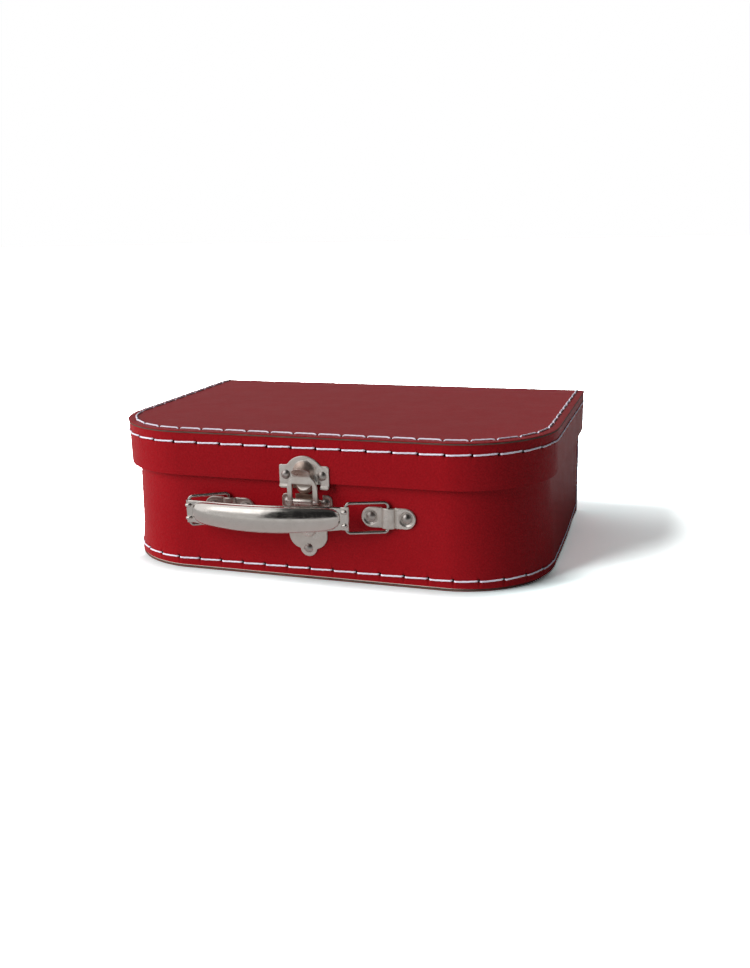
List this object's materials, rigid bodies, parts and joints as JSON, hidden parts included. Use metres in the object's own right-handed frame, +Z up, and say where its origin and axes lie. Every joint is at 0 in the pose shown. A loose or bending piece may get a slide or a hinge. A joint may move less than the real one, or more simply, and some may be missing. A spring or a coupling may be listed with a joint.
{
  "type": "suitcase",
  "caption": "Small paperboard suitcase lying flat, with a hinged lid, sewn edges, a snap hasp lock and a folding metal handle on wire rings.",
  "frame": {"origin": "on the floor, under the middle of the case's bottom panel", "axes": "+X along the width, to the right as seen from the lock; -Y towards the lock and handle; +Z up"},
  "size_m": [0.3016, 0.2235, 0.0961],
  "materials": {
    "red_paper": "semi-gloss leather-grain cover paper",
    "raw_board": "raw grey-brown pressed board, matt",
    "lining_paper": "plain matt lining paper",
    "thread": "thick twisted sewing thread",
    "nickel_sheet": "satin nickel-plated pressed sheet",
    "nickel_rivet": "bright nickel-plated rivets and pin",
    "nickel_wire": "bright nickel-plated wire",
    "nickel_grip": "polished nickel-plated pressed grip",
    "spring_steel": "blued spring strip"
  },
  "bodies": {
    "base": {"bottom_board": "raw_board", "bottom_cover": "red_paper", "bottom_lining": "lining_paper", "back_board": "raw_board", "back_cover": "red_paper", "back_lining": "lining_paper", "base_band": "raw_board", "base_band_cover": "red_paper", "base_band_lining": "lining_paper", "base_thread": "thread", "rear_thread": "thread", "hinge_crease": "red_paper", "lock_plate": "nickel_sheet", "lock_housing": "nickel_sheet", "lock_spring": "spring_steel", "hasp_pin": "nickel_rivet", "lock_rivets": "nickel_rivet", "lock_washers": "nickel_rivet", "clip_left": "nickel_sheet", "clip_right": "nickel_sheet", "clip_rivets": "nickel_rivet", "clip_washers": "nickel_rivet"},
    "lid": {"lid_board": "raw_board", "lid_top_cover": "red_paper", "lid_lining": "red_paper", "lid_band": "raw_board", "lid_band_cover": "red_paper", "lid_band_lining": "lining_paper", "lid_thread_top": "thread", "lid_thread_side": "thread", "strike_plate": "nickel_sheet", "strike_rivets": "nickel_rivet", "strike_washers": "nickel_rivet"},
    "hasp": {"hasp": "nickel_sheet"},
    "ring_left": {"ring_left": "nickel_wire"},
    "ring_right": {"ring_right": "nickel_wire"},
    "handle": {"handle": "nickel_grip"}
  },
  "joints": [
    {"name": "lid_hinge", "type": "hinge", "parent": "base", "child": "lid", "pos_m": [0, 0.09905, 0.09405], "axis": [-1, 0, 0], "range_deg": [0, 180]},
    {"name": "hasp_hinge", "type": "hinge", "parent": "base", "child": "hasp", "pos_m": [0, -0.1035, 0.0536], "axis": [1, 0, 0], "range_deg": [0, 70], "stiffness_Nm_per_rad": 0.02, "springref_deg": -5.73},
    {"name": "handle_fold", "type": "hinge", "parent": "base", "child": "ring_left", "pos_m": [-0.054, -0.09765, 0.0448], "axis": [0, 0, 1], "range_deg": [0, 139]},
    {"name": "handle_turn", "type": "hinge", "parent": "ring_left", "child": "handle", "pos_m": [-0.07835, -0.10676, 0.0448], "axis": [0, 0, 1], "range_deg": [-139, 0]},
    {"name": "ring_right_fold", "type": "hinge", "parent": "base", "child": "ring_right", "pos_m": [0.054, -0.09765, 0.0448], "axis": [0, 0, 1], "range_deg": [0, 139]}
  ],
  "couplings": [
    {"joint": "handle_turn", "follows": "handle_fold", "ratio": -1},
    {"joint": "ring_right_fold", "follows": "handle_fold", "ratio": 1}
  ]
}
